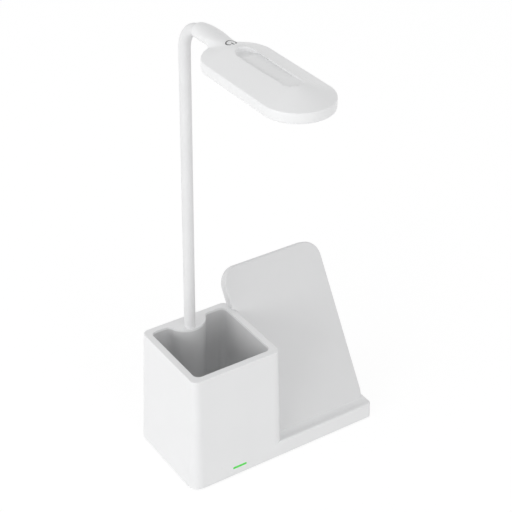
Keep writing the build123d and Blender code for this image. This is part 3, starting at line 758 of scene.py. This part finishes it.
# Strip let into the head's slot, with a fine gap round it and a hollow at the neck's end
stripSettings = {
    "middle": -76.7 * mm, "length": 64.0 * mm, "half": 6.55 * mm,
    "top": 359.75 * mm, "bottom": 357.4 * mm,
    "edge": 0.35 * mm, "edgeSegments": 2,
    "edgeAngle": 50,               # edges sharper than this are rounded
    "hollow": (12.0 * mm, 2.6 * mm),      # length and depth of the fall at the neck's end
    "tipFall": (5.0 * mm, 0.9 * mm),
    "cuts": 40,
    "cutShare": 0.9999,            # of the straight part; the cuts lie within it
    "sides": 64, "sharpAngle": 40.0,
}


def makeStrip(settings):
    half = settings["half"]
    straight = settings["length"] / 2 - half
    form = roundedBar(half, settings["length"], settings["sides"])
    long = [edge for edge in form.edges if edge.calc_length() > straight]
    bmesh.ops.subdivide_edges(form, edges=long, cuts=settings["cuts"])
    ends = sorted(form.verts, key=lambda vertex: vertex.co.y)
    within = straight * settings["cutShare"]
    for left in [v for v in ends if v.co.x < 0 and abs(v.co.y) < within]:
        right = min((v for v in ends if v.co.x > 0), key=lambda v: abs(v.co.y - left.co.y))
        bmesh.ops.connect_vert_pair(form, verts=[left, right])
    upper = raiseFaces(form, form.faces[:], settings["top"] - settings["bottom"])
    bmesh.ops.recalc_face_normals(form, faces=form.faces)
    for vertex in upper:
        for (reach, fall), along in ((settings["hollow"], straight + half - vertex.co.y),
                                     (settings["tipFall"], straight + half + vertex.co.y)):
            vertex.co.z -= fall * fade(along, 0, reach)
    rim = [edge for edge in form.edges if edge.verts[0] in upper and edge.verts[1] in upper
           and edge.calc_face_angle(0) > math.radians(settings["edgeAngle"])]
    roundEdges(form, rim, settings["edge"], settings["edgeSegments"])
    bmesh.ops.translate(form, verts=form.verts, vec=(postX, settings["middle"], settings["bottom"]))
    return form


strip = addPiece("slotStrip", makeStrip(stripSettings), finishes["housing_plastic"],
                 stripSettings["sharpAngle"])
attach(strip, "head")
print("slot strip made")

# Touch mark: a thin printed ring and stroke that lie on the dome
markSettings = {
    "centre": (postX, -33.2 * mm),
    "radius": 3.4 * mm,            # middle of the ring's line
    "line": 0.9 * mm,
    "gap": 62.0,                   # opening of the ring towards the lamp's tip, in degrees
    "stroke": (0.3 * mm, 4.2 * mm),      # from the ring's centre towards the tip
    "tall": 1 * mm,                # of the mark before it is laid on the dome
    "proud": 0.04 * mm, "sunk": 0.12 * mm,
    "steps": 60, "strokeSteps": 10,
    "ink": (0.10, 0.101, 0.103), "roughness": 0.5,
    "wear": 1.25, "wearScale": 900.0, "wearRange": (0.45, 0.8), "wearGloss": 0.1,
}


def printMark(settings):
    centreX, centreY = settings["centre"]
    half, tall = settings["line"] / 2, settings["tall"]
    form = bmesh.new()
    # ring: the line's section, spun from one side of the gap to the other
    turned = Matrix.Rotation(math.radians(settings["gap"] / 2 - 90), 4, "Z")
    section = [form.verts.new(turned @ Vector((settings["radius"] + across, 0, up)))
               for across, up in ((-half, 0), (half, 0), (half, tall), (-half, tall))]
    start = form.faces.new(section)
    bmesh.ops.spin(form, geom=[start], cent=(0, 0, 0), axis=(0, 0, 1), steps=settings["steps"],
                   angle=math.radians(360 - settings["gap"]), use_merge=False, use_duplicate=False)
    # stroke: a bar cut across so that it can follow the dome
    near, far = settings["stroke"]
    made = bmesh.ops.create_grid(form, x_segments=1, y_segments=settings["strokeSteps"], size=0.5)
    bmesh.ops.scale(form, verts=made["verts"], vec=(settings["line"], far - near, 1))
    bmesh.ops.translate(form, verts=made["verts"], vec=(0, -(near + far) / 2, 0))
    bar = dict.fromkeys(face for vertex in made["verts"] for face in vertex.link_faces)
    raiseFaces(form, list(bar), tall)
    bmesh.ops.recalc_face_normals(form, faces=form.faces)
    # laid on the dome
    dome = BVHTree.FromObject(head, bpy.context.evaluated_depsgraph_get())
    for vertex in form.verts:
        x, y = centreX + vertex.co.x, centreY + vertex.co.y
        hit = dome.ray_cast(Vector((x, y, 1)), Vector((0, 0, -1)))[0]
        lift = settings["proud"] if vertex.co.z > 0 else -settings["sunk"]
        vertex.co = (x, y, hit.z + lift)
    return form


def makeInk(settings):
    finish = Finish(bpy.data.materials.new("greyInk"))
    wear = finish.step(finish.noise(settings["wearScale"], 4.0), *settings["wearRange"])
    return finish.principled({
        "Base Color": finish.shadeColour(wear, settings["ink"], settings["wear"]),
        "Roughness": settings["roughness"] + wear * settings["wearGloss"]})


mark = addPiece("touchMark", printMark(markSettings), makeInk(markSettings))
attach(mark, "head")
print("touch mark made")

# Floor: pale and plain, white to the camera but for the object's shadow
floorSettings = {"size": 8.0, "colour": 0.8, "share": 0.7, "white": 1.17}


def makeFloor(settings):
    form = bmesh.new()
    bmesh.ops.create_grid(form, x_segments=1, y_segments=1, size=settings["size"] / 2)
    finish = Finish(bpy.data.materials.new("paleFloor"))
    matt = finish.node("ShaderNodeBsdfDiffuse", None, {"Color": rgba(white, settings["colour"])})
    bright = finish.node("ShaderNodeEmission", None,
                         {"Color": rgba(white), "Strength": settings["white"]})
    share = finish.seenDirectly() * settings["share"]
    surface = finish.node("ShaderNodeMixShader", None, {0: share, 1: matt, 2: bright})
    floor = addPiece("floor", form, finish.close(surface))


makeFloor(floorSettings)

# Light: a white room, brighter at the horizon than overhead, with a broad soft lamp at the
# left and a weaker one in front
lightSettings = {
    "horizon": 0.95,
    "zenith": 0.58,
    "white": 1.02,
    "aim": (0.0, 0.0, 0.16),
    "lamps": {
        "keyLamp": {"place": (-2.90, -0.55, 0.75), "size": (3.0, 1.4), "power": 31.0},
        "fillLamp": {"place": (0.30, -3.0, 0.80), "size": (2.0, 1.4), "power": 9.5},
    },
}


def makeLight(settings):
    world = bpy.data.worlds.new("room")
    bpy.context.scene.world = world
    finish = Finish(world)
    upward = finish.node("ShaderNodeSeparateXYZ", None, {0: finish.node("ShaderNodeTexCoord")},
                         "XYZ".index("Z"))
    horizon, zenith = settings["horizon"], settings["zenith"]
    strength = horizon + finish.step(upward, 0.0, 1.0) * (zenith - horizon)
    room, bright = (
        finish.node("ShaderNodeBackground", None, {"Color": rgba(white), "Strength": level})
        for level in (strength, settings["white"]))
    surface = finish.node("ShaderNodeMixShader", None,
                          {0: finish.seenDirectly(), 1: room, 2: bright})
    finish.close(surface, "ShaderNodeOutputWorld")
    for name, lamp in settings["lamps"].items():
        data = bpy.data.lights.new(name, "AREA")
        data.shape = "RECTANGLE"
        data.size, data.size_y = lamp["size"]
        data.energy = lamp["power"]
        light = bpy.data.objects.new(name, data)
        bpy.context.scene.collection.objects.link(light)
        light.matrix_world = lookFrom(lamp["place"], settings["aim"])


makeLight(lightSettings)
bpy.context.scene.view_settings.view_transform = "Standard"
print("floor and light made")
